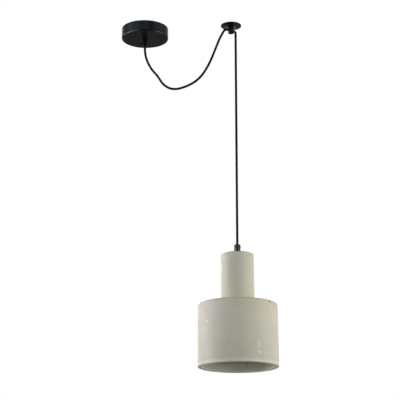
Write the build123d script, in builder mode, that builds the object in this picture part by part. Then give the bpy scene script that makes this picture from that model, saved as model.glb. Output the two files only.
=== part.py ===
from build123d import *
from math import cos, pi, radians, sin, sqrt, tan
import os

os.makedirs("parts", exist_ok=True)

# Millimetres. The origin is the canopy's centre on the ceiling, +X runs from the canopy to the
# hook, and everything hangs below the ceiling, towards -Z.

# Shared clearances and small standard parts
thread_gap = 0.05
slip_gap = 0.2
swing_gap = 0.3
cord_d = 5.0
core_d = 1.8
core_screw_gap = 0.1
m3_d = 3.0
m4_d = 4.0
screw_slot_w = 0.8
screw_slot_depth = 1.0
shallow_slot_depth = 0.5
arc_share = 0.45

# Canopy cup
canopy_d = 100.0
canopy_h = 23.0
canopy_wall = 1.2
canopy_edge_r = 1.8

# Ceiling bracket, a strap bent down in the middle so that a nut fits above it
strap_w = 20.0
strap_t = 1.5
strap_end_gap = 2.0
strap_drop = 8.0
strap_foot_l = 12.8
strap_slope_run = 6.0
slot_margin = 2.3
slot_l = 8.0
slot_w = 4.5

# Canopy nipple, its nuts and the cord grip under the cup
canopy_nipple_d = 8.0
nipple_cord_gap = 0.55
canopy_nut_af = 12.0
canopy_nut_h = 3.0
nut_spare = 1.0
canopy_grip_d = 10.5
canopy_grip_h = 16.5
canopy_grip_thread = 7.0
canopy_grip_edge_r = 1.0
grip_screw_head_d = 5.6
grip_screw_head_h = 3.2

# Terminal block and earth point on the bracket
pole_pitch = 8.0
pole_count = 3
block_nut_gap = 3.0
block_l = 17.0
block_floor_gap = 1.5
block_edge_r = 1.0
block_margin = 4.0
sleeve_d = 4.2
sleeve_bore_d = 2.4
sleeve_up = 5.0
wire_screw_d = 2.5
wire_screw_l = 3.2
wire_screw_pitch = 9.0
wire_grip_l = 5.5
fixing_head_d = 4.6
fixing_head_h = 1.6
earth_x = -19.0
earth_head_d = 7.0
earth_head_h = 2.4
lug_d = 8.0
lug_t = 0.8
lug_tail_l = 9.0
lug_tail_w = 3.2

# Wires inside the canopy
core_bend_r = 2.0
core_strap_gap = 2.6
earth_loop_y = 12.3
live_turn_x = 5.0
neutral_pass_x = 3.0
neutral_pass_y = 6.5
neutral_turn_x = 7.0
earth_sink_x = -9.5
earth_rise_x = 3.3
earth_turn_x = 6.6

# Ceiling hook
hook_x = 186.2
hook_disc_d = 44.0
hook_disc_t = 2.0
hook_disc_edge_r = 0.9
hook_screw_d = 4.4
hook_screw_head_d = 8.0
hook_socket_wall = 1.05
hook_boss_h = 3.0
hook_stem_d = 12.4
hook_stem_bottom = 18.0
hook_stem_edge_r = 0.8
hook_socket_floor_gap = 0.4
hook_bore_drop = 12.0
hook_bore_slope = 20.0
hook_grub_recess = 0.5
hex_socket_af = 1.5
hex_socket_depth = 1.0

# Cord between hook and shade
bend_r = 4.0
bend_clear = 0.05
crest_run = 3.0

# Pendant cord grip on the shade's neck
drop_end = 484.4
ferrule_h = 19.0
ferrule_base_d = 13.2
ferrule_top_d = 12.6
ferrule_edge_r = 1.0
ferrule_thread = 9.0
ferrule_screw_head_d = 4.4
ferrule_screw_head_h = 1.0
ferrule_screw_sink = 0.5

# Concrete shade
neck_h = 104.0
neck_d = 66.3
neck_draft = 0.42
neck_holder_gap = 5.5
neck_roof = 12.0
neck_edge_r = 2.5
drum_h = 126.3
drum_d = 160.6
drum_draft = 0.45
drum_wall = 8.5
drum_roof = 10.0
drum_edge_r = 4.0
drum_inner_r = 6.0
crease_r = 1.2
rim_edge_r = 1.6

# Pendant nipple and what clamps the shade to it
pendant_nipple_d = 10.0
seat_washer_d = 19.0
seat_washer_t = 1.5
clamp_washer_d = 30.0
clamp_washer_t = 1.5
pendant_nut_af = 14.0
pendant_nut_h = 3.5

# Lampholder
holder_wall = 2.2
spigot_wall = 1.9
collar_d = 18.0
collar_h = 7.0
entry_l = 9.0
cap_slope_h = 10.0
cap_skirt_h = 7.0
skirt_h = 34.0
spigot_h = 5.0
holder_edge_r = 0.8
insulator_h = 8.0
insulator_ledge = 0.8
insulator_gap = 0.2
contact_well_edge = 1.0
contact_well_h = 4.5
shell_bore_d = 26.6
shell_wall = 0.7
shell_flange_t = 0.8
shell_l = 22.5
shell_recess = 2.0
tongue_l = 12.0
tongue_w = 5.0
tongue_t = 0.6
tongue_flat_l = 4.0
tongue_tip_l = 3.0
tongue_dip = 2.8
rivet_d = 2.4
rivet_head_d = 3.6
rivet_head_h = 0.8
rivet_shell_gap = 0.25
rivet_edge = 0.55
post_l = 5.0
post_w = 6.0
post_h = 6.0
post_edge = 3.5
post_screw_d = 2.5
post_screw_l = 4.0
tail_below_entry = 2.0
core_straight_l = 2.5
core_slant_h = 2.5

# Worked-out places: depths are measured down from the ceiling, u along X from the hook's axis
cord_r = cord_d / 2
passage_r = cord_r + slip_gap
nipple_bore_r = cord_r + nipple_cord_gap
strap_half = canopy_d / 2 - canopy_wall - strap_end_gap
strap_flat_half = strap_half - strap_foot_l - strap_slope_run
slot_pitch = 2 * (strap_half - slot_margin) - slot_l
strap_low = strap_drop + strap_t
canopy_nipple_top = strap_drop - canopy_nut_h - nut_spare
canopy_grip_end = canopy_h + canopy_grip_h
canopy_grip_land = canopy_grip_h - canopy_grip_thread - slip_gap
block_face_x = canopy_nut_af / sqrt(3) + block_nut_gap
block_x = block_face_x + block_l / 2
block_w = pole_pitch * (pole_count - 1) + 2 * block_margin
block_h = canopy_h - canopy_wall - strap_low - fixing_head_h - block_floor_gap
pole_z = sleeve_up - strap_low - block_h
core_loop_y = strap_w / 2 + core_d / 2 + core_strap_gap
hook_boss_d = hook_stem_d - 2 * (hook_socket_wall + thread_gap)
bore_slope = radians(hook_bore_slope)
drop_start_u = hook_stem_d / 2 + cord_r * sin(bore_slope) + bend_clear
drop_x = hook_x + drop_start_u + bend_r * (1 - sin(bore_slope))
hook_grub_tip = hook_bore_drop + m3_d / 2 * tan(bore_slope) + cord_r / cos(bore_slope) + core_screw_gap
ferrule_base = drop_end + ferrule_h
ferrule_land = ferrule_h - ferrule_thread - slip_gap
ferrule_screw_seat = ferrule_top_d / 2 - ferrule_screw_sink
neck_top = ferrule_base + seat_washer_t
shoulder_top = neck_top + neck_h
shade_rim = shoulder_top + drum_h
neck_ceiling = neck_top + neck_roof
clamp_nut_top = neck_ceiling + clamp_washer_t
holder_top = clamp_nut_top + pendant_nut_h
cap_bottom = holder_top + collar_h + cap_slope_h + cap_skirt_h
skirt_bottom = cap_bottom + skirt_h
insulator_bottom = skirt_bottom - shell_l - shell_recess
insulator_top = insulator_bottom - insulator_h
shell_d = shell_bore_d + 2 * shell_wall
shell_room_r = shell_d / 2 + insulator_gap
insulator_bore_r = shell_room_r + insulator_ledge + insulator_gap
insulator_d = 2 * (insulator_bore_r - insulator_gap)
cap_bore_r = insulator_bore_r + spigot_wall + slip_gap
holder_r = cap_bore_r + holder_wall
rivet_circle_r = shell_bore_d / 2 - rivet_head_d / 2 - rivet_shell_gap
shell_flange_bore_r = rivet_circle_r - rivet_d / 2 - rivet_edge
contact_well_r = shell_flange_bore_r - contact_well_edge
post_r = insulator_d / 2 - post_l / 2 - post_edge
pendant_axis = Plane((drop_x, 0, 0), x_dir=(1, 0, 0), z_dir=(0, 0, 1))
pendant_section = Plane((drop_x, 0, 0), x_dir=(1, 0, 0), z_dir=(0, -1, 0))
bore_dir = Vector(cos(bore_slope), 0, -sin(bore_slope))
bore_centre = Vector(hook_x, 0, -hook_bore_drop)


def below(depth):
    """Horizontal plane at a depth under the ceiling, on the canopy's axis."""
    return Plane.XY.offset(-depth)


def under_shade(depth):
    """Horizontal plane at a depth under the ceiling, on the pendant's axis."""
    return pendant_axis.offset(-depth)


def corner_radii(points):
    """Largest even arc at each corner of a cord's route."""
    radii = []
    for before, corner, after in zip(points, points[1:], points[2:]):
        run_in = Vector(*corner) - Vector(*before)
        run_out = Vector(*after) - Vector(*corner)
        shorter = min(run_in.length, run_out.length)
        radii.append(arc_share * shorter / tan(radians(run_in.get_angle(run_out) / 2)))
    return radii


def round_sweep(points, radii, diameter):
    """Sweep a round section along straight runs joined by tangent arcs."""
    with BuildLine() as route:
        FilletPolyline(*points, radius=radii)
    start = Plane(origin=route.line @ 0, z_dir=route.line % 0)
    with BuildSketch(start) as section:
        Circle(diameter / 2)
    sweep(sections=section.sketch, path=route.line)
    return route.wire().length


def finish(piece, name):
    """Label a finished piece and write it."""
    piece.part.label = name
    export_step(piece.part, f"parts/{name}.step")


# Canopy

with BuildPart() as canopy_cup:
    with BuildSketch():
        Circle(canopy_d / 2)
    extrude(amount=-canopy_h)
    fillet(canopy_cup.edges().group_by(Axis.Z)[0], canopy_edge_r)
    offset(amount=-canopy_wall, openings=canopy_cup.faces().sort_by(Axis.Z)[-1])
    with BuildSketch(below(canopy_h)):
        Circle(canopy_nipple_d / 2 + slip_gap)
    extrude(amount=2 * canopy_wall, mode=Mode.SUBTRACT)
finish(canopy_cup, "canopy_cup")

with BuildPart() as ceiling_bracket:
    with BuildSketch(Plane.XZ):
        with BuildLine():
            Polyline(
                (-strap_half, 0),
                (-strap_flat_half - strap_slope_run, 0),
                (-strap_flat_half, -strap_drop),
                (strap_flat_half, -strap_drop),
                (strap_flat_half + strap_slope_run, 0),
                (strap_half, 0),
            )
            offset(amount=strap_t, side=Side.RIGHT, kind=Kind.INTERSECTION)
        make_face()
    extrude(amount=strap_w / 2, both=True)
    with BuildSketch():
        with GridLocations(slot_pitch, 0, 2, 1):
            SlotOverall(slot_l, slot_w)
        Circle(canopy_nipple_d / 2 + slip_gap)
        with Locations((earth_x, 0)):
            Circle(m4_d / 2 + thread_gap)
        with Locations((block_x, pole_pitch / 2)):
            Circle(m3_d / 2 + thread_gap)
    extrude(amount=-2 * strap_low, mode=Mode.SUBTRACT)
finish(ceiling_bracket, "ceiling_bracket")

with BuildPart() as canopy_nipple:
    with BuildSketch(below(canopy_nipple_top)):
        Circle(canopy_nipple_d / 2)
        Circle(nipple_bore_r, mode=Mode.SUBTRACT)
    extrude(amount=-(canopy_h + canopy_grip_thread - canopy_nipple_top))
finish(canopy_nipple, "canopy_nipple")

with BuildPart() as canopy_lock_nuts:
    for nut_top in (strap_drop - canopy_nut_h, strap_low):
        with BuildSketch(below(nut_top)):
            RegularPolygon(canopy_nut_af / 2, 6, major_radius=False)
            Circle(canopy_nipple_d / 2 + thread_gap, mode=Mode.SUBTRACT)
        extrude(amount=-canopy_nut_h)
finish(canopy_lock_nuts, "canopy_lock_nuts")

grip_screw_z = canopy_grip_land / 2 - canopy_grip_end
with BuildPart() as canopy_cord_grip:
    with BuildSketch(below(canopy_h)):
        Circle(canopy_grip_d / 2)
    extrude(amount=-canopy_grip_h)
    fillet(canopy_cord_grip.edges().group_by(Axis.Z)[0], canopy_grip_edge_r)
    with BuildSketch(below(canopy_h)):
        Circle(canopy_nipple_d / 2 + thread_gap)
    extrude(amount=-(canopy_grip_thread + slip_gap), mode=Mode.SUBTRACT)
    with BuildSketch(below(canopy_grip_end)):
        Circle(passage_r)
    extrude(amount=canopy_grip_h, mode=Mode.SUBTRACT)
    with BuildSketch(Plane((0, 0, grip_screw_z), z_dir=(-1, 0, 0))):
        Circle(m3_d / 2 + thread_gap)
    extrude(amount=canopy_grip_d, mode=Mode.SUBTRACT)
finish(canopy_cord_grip, "canopy_cord_grip")

with BuildPart() as canopy_grip_screw:
    with BuildSketch(Plane((-cord_r - core_screw_gap, 0, grip_screw_z), z_dir=(-1, 0, 0))):
        Circle(m3_d / 2)
    extrude(amount=canopy_grip_d / 2 + slip_gap - cord_r - core_screw_gap)
    head_plane = Plane((-canopy_grip_d / 2 - slip_gap, 0, grip_screw_z), z_dir=(-1, 0, 0))
    with BuildSketch(head_plane):
        Circle(grip_screw_head_d / 2)
    extrude(amount=grip_screw_head_h)
    with BuildSketch(head_plane.offset(grip_screw_head_h)):
        Rectangle(screw_slot_w, 2 * grip_screw_head_d)
    extrude(amount=-screw_slot_depth, mode=Mode.SUBTRACT)
finish(canopy_grip_screw, "canopy_grip_screw")

with BuildPart() as terminal_block:
    with BuildSketch(below(strap_low)):
        with Locations((block_x, 0)):
            Rectangle(block_l, block_w)
    extrude(amount=-block_h)
    fillet(terminal_block.edges().filter_by(Axis.Z), block_edge_r)
    with BuildSketch(Plane((block_face_x, 0, pole_z), x_dir=(0, 1, 0), z_dir=(1, 0, 0))):
        with GridLocations(pole_pitch, 0, pole_count, 1):
            Circle(sleeve_d / 2 + thread_gap)
    extrude(amount=block_l, mode=Mode.SUBTRACT)
    with BuildSketch(below(strap_low + block_h)):
        with Locations((block_x, 0)):
            with GridLocations(wire_screw_pitch, pole_pitch, 2, pole_count):
                Circle(wire_screw_d / 2 + slip_gap)
    extrude(amount=sleeve_up, mode=Mode.SUBTRACT)
    with BuildSketch(below(strap_low)):
        with Locations((block_x, pole_pitch / 2)):
            Circle(m3_d / 2 + slip_gap)
    extrude(amount=-block_h, mode=Mode.SUBTRACT)
finish(terminal_block, "terminal_block")

with BuildPart() as terminal_sleeves:
    with BuildSketch(Plane((block_face_x, 0, pole_z), x_dir=(0, 1, 0), z_dir=(1, 0, 0))):
        with GridLocations(pole_pitch, 0, pole_count, 1):
            Circle(sleeve_d / 2)
            Circle(sleeve_bore_d / 2, mode=Mode.SUBTRACT)
    extrude(amount=block_l)
    with BuildSketch(Plane.XY.offset(pole_z)):
        with Locations((block_x, 0)):
            with GridLocations(wire_screw_pitch, pole_pitch, 2, pole_count):
                Circle(wire_screw_d / 2 + thread_gap)
    extrude(amount=-sleeve_d, mode=Mode.SUBTRACT)
finish(terminal_sleeves, "terminal_sleeves")

with BuildPart() as terminal_screws:
    tip = pole_z - core_d / 2 - core_screw_gap
    with BuildSketch(Plane.XY.offset(tip)):
        with Locations((block_x, 0)):
            with GridLocations(wire_screw_pitch, pole_pitch, 2, pole_count):
                Circle(wire_screw_d / 2)
    extrude(amount=-wire_screw_l)
    with BuildSketch(Plane.XY.offset(tip - wire_screw_l)):
        with Locations((block_x, 0)):
            with GridLocations(wire_screw_pitch, pole_pitch, 2, pole_count):
                Rectangle(screw_slot_w, wire_screw_d)
    extrude(amount=screw_slot_depth, mode=Mode.SUBTRACT)
finish(terminal_screws, "terminal_screws")

with BuildPart() as terminal_fixing_screw:
    with BuildSketch(below(strap_drop)):
        with Locations((block_x, pole_pitch / 2)):
            Circle(m3_d / 2)
    extrude(amount=-(strap_t + block_h))
    with BuildSketch(below(strap_low + block_h)):
        with Locations((block_x, pole_pitch / 2)):
            Circle(fixing_head_d / 2)
    extrude(amount=-fixing_head_h)
    with BuildSketch(below(strap_low + block_h + fixing_head_h)):
        with Locations((block_x, pole_pitch / 2)):
            Rectangle(screw_slot_w, fixing_head_d)
    extrude(amount=screw_slot_depth, mode=Mode.SUBTRACT)
finish(terminal_fixing_screw, "terminal_fixing_screw")

with BuildPart() as earth_lug:
    with BuildSketch(below(strap_low)):
        with Locations((earth_x, 0)):
            Circle(lug_d / 2)
        with Locations((earth_x, -lug_tail_l / 2)):
            Rectangle(lug_tail_w, lug_tail_l)
        with Locations((earth_x, 0)):
            Circle(m4_d / 2 + thread_gap, mode=Mode.SUBTRACT)
    extrude(amount=-lug_t)
finish(earth_lug, "earth_lug")

with BuildPart() as earth_screw:
    with BuildSketch(below(strap_drop)):
        with Locations((earth_x, 0)):
            Circle(m4_d / 2)
    extrude(amount=-(strap_t + lug_t))
    with BuildSketch(below(strap_low + lug_t)):
        with Locations((earth_x, 0)):
            Circle(earth_head_d / 2)
    extrude(amount=-earth_head_h)
    with BuildSketch(below(strap_low + lug_t + earth_head_h)):
        with Locations((earth_x, 0)):
            Rectangle(screw_slot_w, earth_head_d)
    extrude(amount=screw_slot_depth, mode=Mode.SUBTRACT)
finish(earth_screw, "earth_screw")

# Cord inside the canopy: the sheath's tail, and its cores and the earth lead to the terminals

tail_top = canopy_nipple_top + nut_spare
with BuildPart() as canopy_cord_tail:
    with BuildSketch(below(tail_top)):
        Circle(cord_r)
    extrude(amount=-(canopy_grip_end - tail_top))
finish(canopy_cord_tail, "canopy_cord_tail")

core_side = core_d / 2 + core_screw_gap
wire_end_x = block_face_x + wire_grip_l
over_z = -canopy_nipple_top / 2
with BuildPart() as canopy_live_core:
    live_route = [
        (core_side, 0, -tail_top),
        (core_side, 0, over_z),
        (core_side, core_loop_y, over_z),
        (core_side, core_loop_y, pole_z),
        (live_turn_x, pole_pitch, pole_z),
        (wire_end_x, pole_pitch, pole_z),
    ]
    round_sweep(live_route, core_bend_r, core_d)
finish(canopy_live_core, "canopy_live_core")

with BuildPart() as canopy_neutral_core:
    neutral_route = [
        (-core_side, 0, -tail_top),
        (-core_side, 0, over_z),
        (-core_side, core_loop_y, over_z),
        (-core_side, core_loop_y, pole_z),
        (neutral_pass_x, neutral_pass_y, pole_z),
        (neutral_turn_x, 0, pole_z),
        (wire_end_x, 0, pole_z),
    ]
    round_sweep(neutral_route, core_bend_r, core_d)
finish(canopy_neutral_core, "canopy_neutral_core")

with BuildPart() as earth_lead:
    crimp_z = -(strap_low + lug_t + core_d / 2 + thread_gap)
    earth_route = [
        (earth_x, -lug_tail_l / 2, crimp_z),
        (earth_x, -earth_loop_y, crimp_z),
        (earth_sink_x, -earth_loop_y, pole_z),
        (earth_rise_x, -earth_loop_y, pole_z),
        (earth_turn_x, -pole_pitch, pole_z),
        (wire_end_x, -pole_pitch, pole_z),
    ]
    round_sweep(earth_route, core_bend_r, core_d)
finish(earth_lead, "earth_lead")

# Ceiling hook

with BuildPart() as hook_disc:
    with BuildSketch(Plane((hook_x, 0, 0))):
        Circle(hook_disc_d / 2)
    extrude(amount=-hook_disc_t)
    fillet(hook_disc.edges().group_by(Axis.Z)[0], hook_disc_edge_r)
    with BuildSketch(Plane((hook_x, 0, -hook_disc_t))):
        Circle(hook_boss_d / 2)
    extrude(amount=-hook_boss_h)
    with Locations(Plane((hook_x, 0, -hook_disc_t - hook_boss_h), z_dir=(0, 0, -1))):
        CounterSinkHole(hook_screw_d / 2, hook_screw_head_d / 2, counter_sink_angle=90)
finish(hook_disc, "hook_disc")

with BuildPart() as hook_stem:
    with BuildSketch(Plane((hook_x, 0, -hook_disc_t))):
        Circle(hook_stem_d / 2)
    extrude(amount=-(hook_stem_bottom - hook_disc_t))
    fillet(hook_stem.edges().group_by(Axis.Z)[0], hook_stem_edge_r)
    with BuildSketch(Plane((hook_x, 0, -hook_disc_t))):
        Circle(hook_boss_d / 2 + thread_gap)
    extrude(amount=-(hook_boss_h + hook_socket_floor_gap), mode=Mode.SUBTRACT)
    with BuildSketch(Plane(bore_centre, z_dir=bore_dir)):
        Circle(passage_r)
    extrude(amount=hook_stem_d, both=True, mode=Mode.SUBTRACT)
    with BuildSketch(Plane((hook_x, 0, -hook_stem_bottom))):
        Circle(m3_d / 2 + thread_gap)
    extrude(amount=hook_stem_bottom - hook_bore_drop, mode=Mode.SUBTRACT)
finish(hook_stem, "hook_stem")

with BuildPart() as hook_grub_screw:
    with BuildSketch(Plane((hook_x, 0, hook_grub_recess - hook_stem_bottom))):
        Circle(m3_d / 2)
        RegularPolygon(hex_socket_af / 2, 6, major_radius=False, mode=Mode.SUBTRACT)
    extrude(amount=hex_socket_depth)
    with BuildSketch(Plane((hook_x, 0, hook_grub_recess + hex_socket_depth - hook_stem_bottom))):
        Circle(m3_d / 2)
    extrude(amount=hook_stem_bottom - hook_grub_recess - hex_socket_depth - hook_grub_tip)
finish(hook_grub_screw, "hook_grub_screw")

hook_cord_start = bore_centre - bore_dir * (drop_start_u / cos(bore_slope))
with BuildPart() as hook_cord:
    with BuildSketch(Plane(hook_cord_start, z_dir=bore_dir)):
        Circle(cord_r)
    extrude(amount=2 * drop_start_u / cos(bore_slope) - swing_gap)
finish(hook_cord, "hook_cord")

# Free cord. The swag's points are chosen by hand, in X and Z, in the plane of canopy and hook.

crest = hook_cord_start - bore_dir * crest_run
swag_points = [
    (0.0, -canopy_grip_end),
    (0.0, -55.0),
    (5.4, -74.9),
    (15.5, -94.1),
    (28.2, -108.5),
    (40.9, -130.6),
    (62.1, -142.1),
    (91.4, -135.5),
    (118.6, -119.1),
    (138.2, -88.5),
    (150.4, -57.9),
    (160.6, -30.9),
    (166.8, -18.8),
    (170.2, -12.4),
    (172.8, -9.3),
    (crest.X, crest.Z),
    (hook_cord_start.X, hook_cord_start.Z),
]
swag_route = [(x, 0, z) for x, z in swag_points]
swag_radii = corner_radii(swag_route)
with BuildPart() as swag_cord:
    swag_length = round_sweep(swag_route, swag_radii, cord_d)
finish(swag_cord, "swag_cord")

bend_start = bore_centre + bore_dir * (drop_start_u / cos(bore_slope))
bend_turn = 90 - hook_bore_slope
with BuildPart() as cord_bend:
    with BuildLine(Plane.XZ) as bend_line:
        JernArc((bend_start.X, bend_start.Z), (bore_dir.X, bore_dir.Z), bend_r, -bend_turn)
    with BuildSketch(Plane(bend_start, z_dir=bore_dir)):
        Circle(cord_r)
    sweep(path=bend_line.line)
finish(cord_bend, "cord_bend")

bend_end = bend_line.line @ 1
drop_pivot = -bend_end.Z + swing_gap + cord_r
drop_bottom = drop_end - swing_gap
with BuildPart() as drop_cord:
    with BuildSketch(under_shade(drop_pivot)):
        Circle(cord_r)
    extrude(amount=-(drop_bottom - drop_pivot))
    with Locations((drop_x, 0, -drop_pivot)):
        Sphere(cord_r)
finish(drop_cord, "drop_cord")

# Pendant cord grip and what holds the shade

pendant_nipple_r = pendant_nipple_d / 2
shade_line = Axis((drop_x, 0, 0), (0, 0, 1))
ferrule_screw_z = -(drop_end + ferrule_land / 2)
with BuildPart() as pendant_cord_grip:
    with BuildSketch(pendant_section):
        with BuildLine():
            Polyline(
                (passage_r, -drop_end),
                (ferrule_top_d / 2, -drop_end),
                (ferrule_base_d / 2, -ferrule_base),
                (pendant_nipple_r + thread_gap, -ferrule_base),
                (pendant_nipple_r + thread_gap, ferrule_thread + slip_gap - ferrule_base),
                (passage_r, ferrule_thread + slip_gap - ferrule_base),
                close=True,
            )
        make_face()
    revolve(axis=shade_line)
    fillet(pendant_cord_grip.edges().group_by(Axis.Z)[-1].sort_by(SortBy.LENGTH)[-1], ferrule_edge_r)
    with BuildSketch(Plane((drop_x, 0, ferrule_screw_z), z_dir=(1, 0, 0))):
        Circle(m3_d / 2 + thread_gap)
    extrude(amount=ferrule_base_d, mode=Mode.SUBTRACT)
    with BuildSketch(Plane((drop_x + ferrule_screw_seat, 0, ferrule_screw_z), z_dir=(1, 0, 0))):
        Circle(ferrule_screw_head_d / 2 + slip_gap)
    extrude(amount=ferrule_base_d, mode=Mode.SUBTRACT)
finish(pendant_cord_grip, "pendant_cord_grip")

with BuildPart() as pendant_grip_screw:
    screw_tip = drop_x + cord_r + core_screw_gap
    screw_head = drop_x + ferrule_screw_seat + thread_gap
    with BuildSketch(Plane((screw_tip, 0, ferrule_screw_z), z_dir=(1, 0, 0))):
        Circle(m3_d / 2)
    extrude(amount=screw_head - screw_tip)
    head_plane = Plane((screw_head, 0, ferrule_screw_z), z_dir=(1, 0, 0))
    with BuildSketch(head_plane):
        Circle(ferrule_screw_head_d / 2)
    extrude(amount=ferrule_screw_head_h)
    with BuildSketch(head_plane.offset(ferrule_screw_head_h)):
        Rectangle(screw_slot_w, 2 * ferrule_screw_head_d)
    extrude(amount=-shallow_slot_depth, mode=Mode.SUBTRACT)
finish(pendant_grip_screw, "pendant_grip_screw")

with BuildPart() as seat_washer:
    with BuildSketch(under_shade(ferrule_base)):
        Circle(seat_washer_d / 2)
        Circle(pendant_nipple_r + slip_gap, mode=Mode.SUBTRACT)
    extrude(amount=-seat_washer_t)
finish(seat_washer, "seat_washer")

neck_flare = neck_h * tan(radians(neck_draft))
neck_r_low = neck_d / 2 + neck_flare
drum_r_low = drum_d / 2 + drum_h * tan(radians(drum_draft))
drum_r_roof = drum_d / 2 + drum_roof * tan(radians(drum_draft))
with BuildPart() as concrete_shade:
    with BuildSketch(pendant_section):
        with BuildLine():
            Polyline(
                (0, -neck_top),
                (neck_d / 2, -neck_top),
                (neck_r_low, -shoulder_top),
                (drum_d / 2, -shoulder_top),
                (drum_r_low, -shade_rim),
                (0, -shade_rim),
                close=True,
            )
        make_face()
    revolve(axis=shade_line)
    shoulder = concrete_shade.edges().filter_by(GeomType.CIRCLE).group_by(Axis.Z)[1]
    fillet(concrete_shade.edges().group_by(Axis.Z)[-1], neck_edge_r)
    fillet(shoulder.sort_by(SortBy.LENGTH)[-1], drum_edge_r)
    fillet(shoulder.sort_by(SortBy.LENGTH)[0], crease_r)
    with BuildSketch(pendant_section) as hollow:
        with BuildLine():
            Polyline(
                (0, -neck_ceiling),
                (holder_r + neck_holder_gap, -neck_ceiling),
                (holder_r + neck_holder_gap + neck_flare, -shoulder_top - drum_roof),
                (drum_r_roof - drum_wall, -shoulder_top - drum_roof),
                (drum_r_low - drum_wall, -shade_rim),
                (0, -shade_rim),
                close=True,
            )
        make_face()
        corners = hollow.vertices().group_by(Axis.Y)[1].sort_by(Axis.X)
        fillet(corners[-1], drum_inner_r)
    revolve(axis=shade_line, mode=Mode.SUBTRACT)
    fillet(concrete_shade.edges().group_by(Axis.Z)[0], rim_edge_r)
    with BuildSketch(under_shade(neck_top)):
        Circle(pendant_nipple_r + slip_gap)
    extrude(amount=-neck_roof, mode=Mode.SUBTRACT)
finish(concrete_shade, "concrete_shade")

nipple_top = ferrule_base - ferrule_thread
entry_bottom = holder_top + entry_l
with BuildPart() as pendant_nipple:
    with BuildSketch(under_shade(nipple_top)):
        Circle(pendant_nipple_r)
        Circle(nipple_bore_r, mode=Mode.SUBTRACT)
    extrude(amount=-(entry_bottom - nipple_top))
finish(pendant_nipple, "pendant_nipple")

with BuildPart() as clamp_washer:
    with BuildSketch(under_shade(neck_ceiling)):
        Circle(clamp_washer_d / 2)
        Circle(pendant_nipple_r + slip_gap, mode=Mode.SUBTRACT)
    extrude(amount=-clamp_washer_t)
finish(clamp_washer, "clamp_washer")

with BuildPart() as pendant_lock_nut:
    with BuildSketch(under_shade(clamp_nut_top)):
        RegularPolygon(pendant_nut_af / 2, 6, major_radius=False)
        Circle(pendant_nipple_r + thread_gap, mode=Mode.SUBTRACT)
    extrude(amount=-pendant_nut_h)
finish(pendant_lock_nut, "pendant_lock_nut")

# Lampholder

slope_top = holder_top + collar_h
slope_bottom = slope_top + cap_slope_h
with BuildPart() as lampholder_cap:
    with BuildSketch(pendant_section):
        with BuildLine():
            Polyline(
                (pendant_nipple_r + thread_gap, -holder_top),
                (collar_d / 2, -holder_top),
                (collar_d / 2, -slope_top),
                (holder_r, -slope_bottom),
                (holder_r, -cap_bottom),
                (cap_bore_r, -cap_bottom),
                (cap_bore_r, -slope_bottom - holder_wall / 2),
                (collar_d / 2, -entry_bottom),
                (pendant_nipple_r + thread_gap, -entry_bottom),
                close=True,
            )
        make_face()
    revolve(axis=shade_line)
finish(lampholder_cap, "lampholder_cap")

with BuildPart() as lampholder_skirt:
    with BuildSketch(pendant_section):
        with BuildLine():
            Polyline(
                (insulator_bore_r, spigot_h - cap_bottom),
                (cap_bore_r - slip_gap, spigot_h - cap_bottom),
                (cap_bore_r - slip_gap, -cap_bottom),
                (holder_r, -cap_bottom),
                (holder_r, -skirt_bottom),
                (shell_room_r, -skirt_bottom),
                (shell_room_r, -insulator_bottom),
                (insulator_bore_r, -insulator_bottom),
                close=True,
            )
        make_face()
    revolve(axis=shade_line)
    fillet(lampholder_skirt.edges().group_by(Axis.Z)[0], holder_edge_r)
finish(lampholder_skirt, "lampholder_skirt")

with BuildPart() as lampholder_insulator:
    with BuildSketch(under_shade(insulator_top)):
        Circle(insulator_d / 2)
        with PolarLocations(rivet_circle_r, 2, start_angle=90):
            Circle(rivet_d / 2 + thread_gap, mode=Mode.SUBTRACT)
    extrude(amount=-insulator_h)
    with BuildSketch(under_shade(insulator_bottom)):
        Circle(contact_well_r)
    extrude(amount=contact_well_h, mode=Mode.SUBTRACT)
finish(lampholder_insulator, "lampholder_insulator")

with BuildPart() as screw_shell:
    with BuildSketch(under_shade(insulator_bottom)):
        Circle(shell_d / 2)
        Circle(shell_bore_d / 2, mode=Mode.SUBTRACT)
    extrude(amount=-shell_l)
    with BuildSketch(under_shade(insulator_bottom)):
        Circle(shell_d / 2)
        Circle(shell_flange_bore_r, mode=Mode.SUBTRACT)
        with PolarLocations(rivet_circle_r, 2, start_angle=90):
            Circle(rivet_d / 2 + thread_gap, mode=Mode.SUBTRACT)
    extrude(amount=-shell_flange_t)
finish(screw_shell, "screw_shell")

with BuildPart() as shell_rivets:
    with BuildSketch(under_shade(insulator_bottom + shell_flange_t)):
        with PolarLocations(rivet_circle_r, 2, start_angle=90):
            Circle(rivet_d / 2)
    extrude(amount=insulator_h + shell_flange_t)
    with BuildSketch(under_shade(insulator_top)):
        with PolarLocations(rivet_circle_r, 2, start_angle=90):
            Circle(rivet_head_d / 2)
    extrude(amount=rivet_head_h)
finish(shell_rivets, "shell_rivets")

well_roof = contact_well_h - insulator_bottom
with BuildPart() as centre_contact:
    with BuildSketch(pendant_section):
        with BuildLine():
            Polyline(
                (-tongue_l / 2, well_roof),
                (tongue_flat_l - tongue_l / 2, well_roof),
                (tongue_l / 2 - tongue_tip_l, well_roof - tongue_dip),
                (tongue_l / 2, well_roof - tongue_dip + tongue_t),
            )
            offset(amount=tongue_t, side=Side.RIGHT, kind=Kind.INTERSECTION)
        make_face()
    extrude(amount=tongue_w / 2, both=True)
finish(centre_contact, "centre_contact")

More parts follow.
